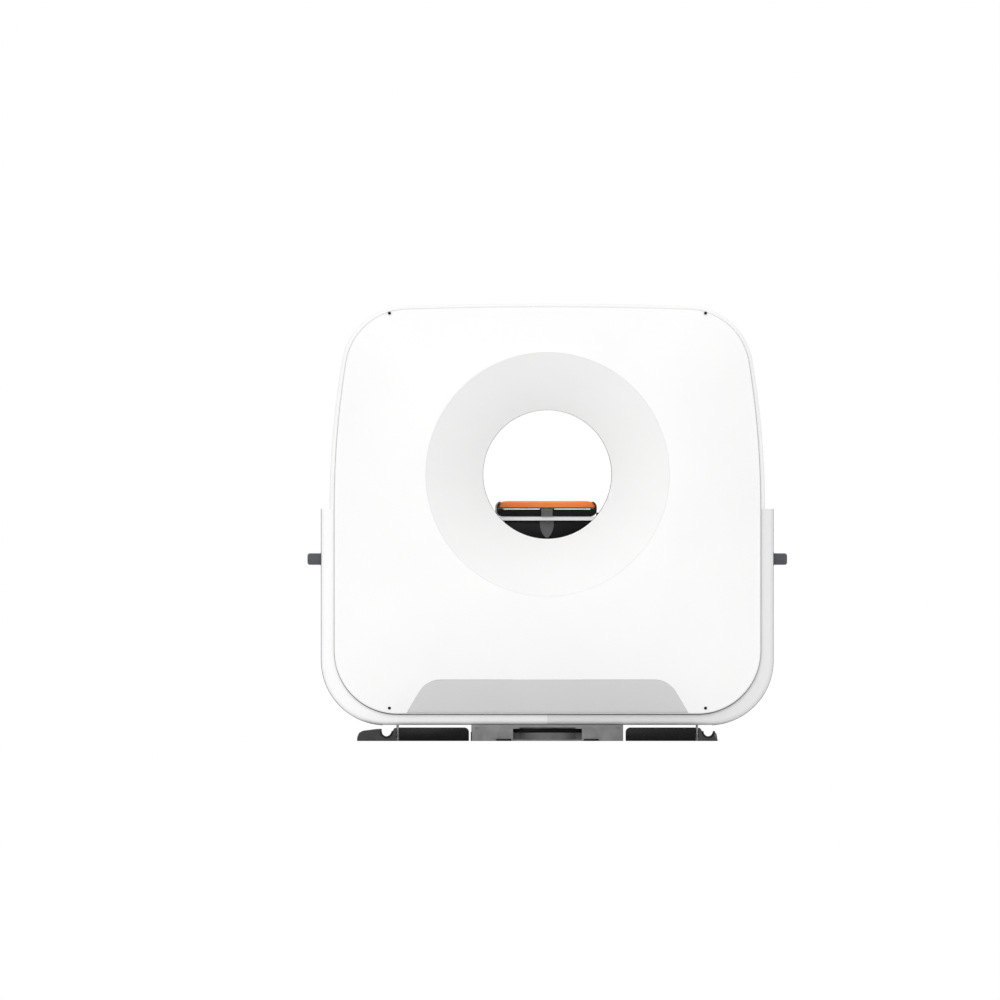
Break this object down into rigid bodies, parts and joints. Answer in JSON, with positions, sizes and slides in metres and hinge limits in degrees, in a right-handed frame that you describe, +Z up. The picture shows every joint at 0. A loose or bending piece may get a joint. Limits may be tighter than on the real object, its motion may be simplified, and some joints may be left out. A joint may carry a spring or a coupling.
{
  "type": "ct scanner",
  "caption": "CT scanner: a fixed ring gantry with a flared patient bore, and a lifting patient table with a cradle that slides into the bore.",
  "frame": {"origin": "on the floor, straight below the middle of the bore, in the scan plane", "axes": "+X across the gantry, +Y along the bore from the rear face towards the patient table, +Z up"},
  "size_m": [2.2306, 3.35, 2.034],
  "materials": {
    "white_moulding": "satin",
    "shaded_moulding": "satin",
    "pale_moulding": "satin",
    "dark_moulding": "satin",
    "grey_moulding": "satin",
    "black_plastic": "satin",
    "key_rubber": "matte",
    "stop_red": "gloss",
    "dark_screen": "gloss",
    "window_film": "gloss",
    "carbon_black": "satin",
    "grey_steel": "satin",
    "black_screw": "satin",
    "bearing_steel": "polished",
    "bright_steel": "satin",
    "black_iron": "satin",
    "black_rubber": "matte",
    "cabinet_grey": "satin",
    "cabinet_black": "satin",
    "cast_aluminium": "satin",
    "white_aluminium": "satin",
    "track_brass": "polished",
    "orange_vinyl": "satin"
  },
  "bodies": {
    "gantry": {"base_frame": "grey_steel", "floor_shims": "black_rubber", "foot_covers": "black_plastic", "anchor_feet": "black_iron", "levelling_bolts": "bright_steel", "stator_frame": "grey_steel", "outer_race": "bearing_steel", "brush_block": "black_plastic", "drive_motor": "black_iron", "drive_belt": "black_rubber", "electronics_cabinets": "cabinet_grey", "upper_cover": "white_moulding", "side_skirt_left": "white_moulding", "side_skirt_right": "shaded_moulding", "side_buffers": "black_rubber", "rear_cover": "white_moulding", "rear_kick_panel": "grey_moulding", "cover_screws": "black_screw", "rear_bore_cone": "white_moulding", "bore_tubes": "white_moulding", "scan_window": "window_film", "front_bore_cone": "white_moulding", "front_cover": "white_moulding", "front_kick_panel": "grey_moulding", "front_display": "dark_screen", "control_panel_left": "pale_moulding", "control_panel_right": "pale_moulding", "table_base": "grey_steel", "table_base_cover": "white_moulding"},
    "rotor": {"inner_race": "bearing_steel", "rotor_drum": "cast_aluminium", "slip_ring": "track_brass", "xray_tube": "cast_aluminium", "collimator": "grey_steel", "high_voltage_tank": "cabinet_grey", "heat_exchanger": "cast_aluminium", "detector_arc": "cabinet_black", "data_modules": "pale_moulding", "counterweights": "black_iron"},
    "pulley": {"motor_pulley": "bearing_steel"},
    "key_left_1": {"key_left_1": "key_rubber"},
    "key_left_2": {"key_left_2": "key_rubber"},
    "key_right_1": {"key_right_1": "key_rubber"},
    "key_right_2": {"key_right_2": "key_rubber"},
    "stop_left": {"emergency_stop_left": "stop_red"},
    "stop_right": {"emergency_stop_right": "stop_red"},
    "middle_stage": {"middle_column": "bright_steel", "middle_cover": "white_moulding"},
    "table_top": {"top_column": "bright_steel", "top_cover": "white_moulding", "table_frame": "white_aluminium", "frame_end_caps": "black_plastic", "end_cap_tongue": "dark_moulding", "strap_hooks": "black_plastic"},
    "cradle": {"cradle_tray": "carbon_black", "head_socket": "dark_moulding", "mattress": "orange_vinyl"},
    "pedal_left": {"pedal_left": "black_plastic"},
    "pedal_right": {"pedal_right": "black_plastic"}
  },
  "joints": [
    {"name": "ring_turn", "type": "hinge", "parent": "gantry", "child": "rotor", "pos_m": [0, 0, 1.24], "axis": [0, 1, 0], "continuous": true},
    {"name": "motor_turn", "type": "hinge", "parent": "gantry", "child": "pulley", "pos_m": [0.655, 0, 0.39], "axis": [0, 1, 0], "continuous": true},
    {"name": "table_lift", "type": "slide", "parent": "gantry", "child": "table_top", "axis": [0, 0, 1], "range_m": [-0.55, 0]},
    {"name": "middle_lift", "type": "slide", "parent": "gantry", "child": "middle_stage", "axis": [0, 0, 1], "range_m": [-0.275, 0]},
    {"name": "cradle_slide", "type": "slide", "parent": "table_top", "child": "cradle", "axis": [0, -1, 0], "range_m": [0, 1.6]},
    {"name": "key_left_1_press", "type": "slide", "parent": "gantry", "child": "key_left_1", "axis": [0, -1, 0], "range_m": [0, 0.0015], "stiffness_N_per_m": 400},
    {"name": "key_left_2_press", "type": "slide", "parent": "gantry", "child": "key_left_2", "axis": [0, -1, 0], "range_m": [0, 0.0015], "stiffness_N_per_m": 400},
    {"name": "key_right_1_press", "type": "slide", "parent": "gantry", "child": "key_right_1", "axis": [0, -1, 0], "range_m": [0, 0.0015], "stiffness_N_per_m": 400},
    {"name": "key_right_2_press", "type": "slide", "parent": "gantry", "child": "key_right_2", "axis": [0, -1, 0], "range_m": [0, 0.0015], "stiffness_N_per_m": 400},
    {"name": "stop_left_press", "type": "slide", "parent": "gantry", "child": "stop_left", "axis": [0, -1, 0], "range_m": [0, 0.005], "stiffness_N_per_m": 800},
    {"name": "stop_right_press", "type": "slide", "parent": "gantry", "child": "stop_right", "axis": [0, -1, 0], "range_m": [0, 0.005], "stiffness_N_per_m": 800},
    {"name": "pedal_left_press", "type": "hinge", "parent": "gantry", "child": "pedal_left", "pos_m": [-0.11, 1.656, 0.04], "axis": [-1, 0, 0], "range_deg": [0, 8], "stiffness_Nm_per_rad": 20, "springref_deg": -2.86},
    {"name": "pedal_right_press", "type": "hinge", "parent": "gantry", "child": "pedal_right", "pos_m": [0.11, 1.656, 0.04], "axis": [-1, 0, 0], "range_deg": [0, 8], "stiffness_Nm_per_rad": 20, "springref_deg": -2.86}
  ],
  "couplings": [
    {"joint": "motor_turn", "follows": "ring_turn", "ratio": 12.909},
    {"joint": "middle_lift", "follows": "table_lift", "ratio": 0.5}
  ]
}
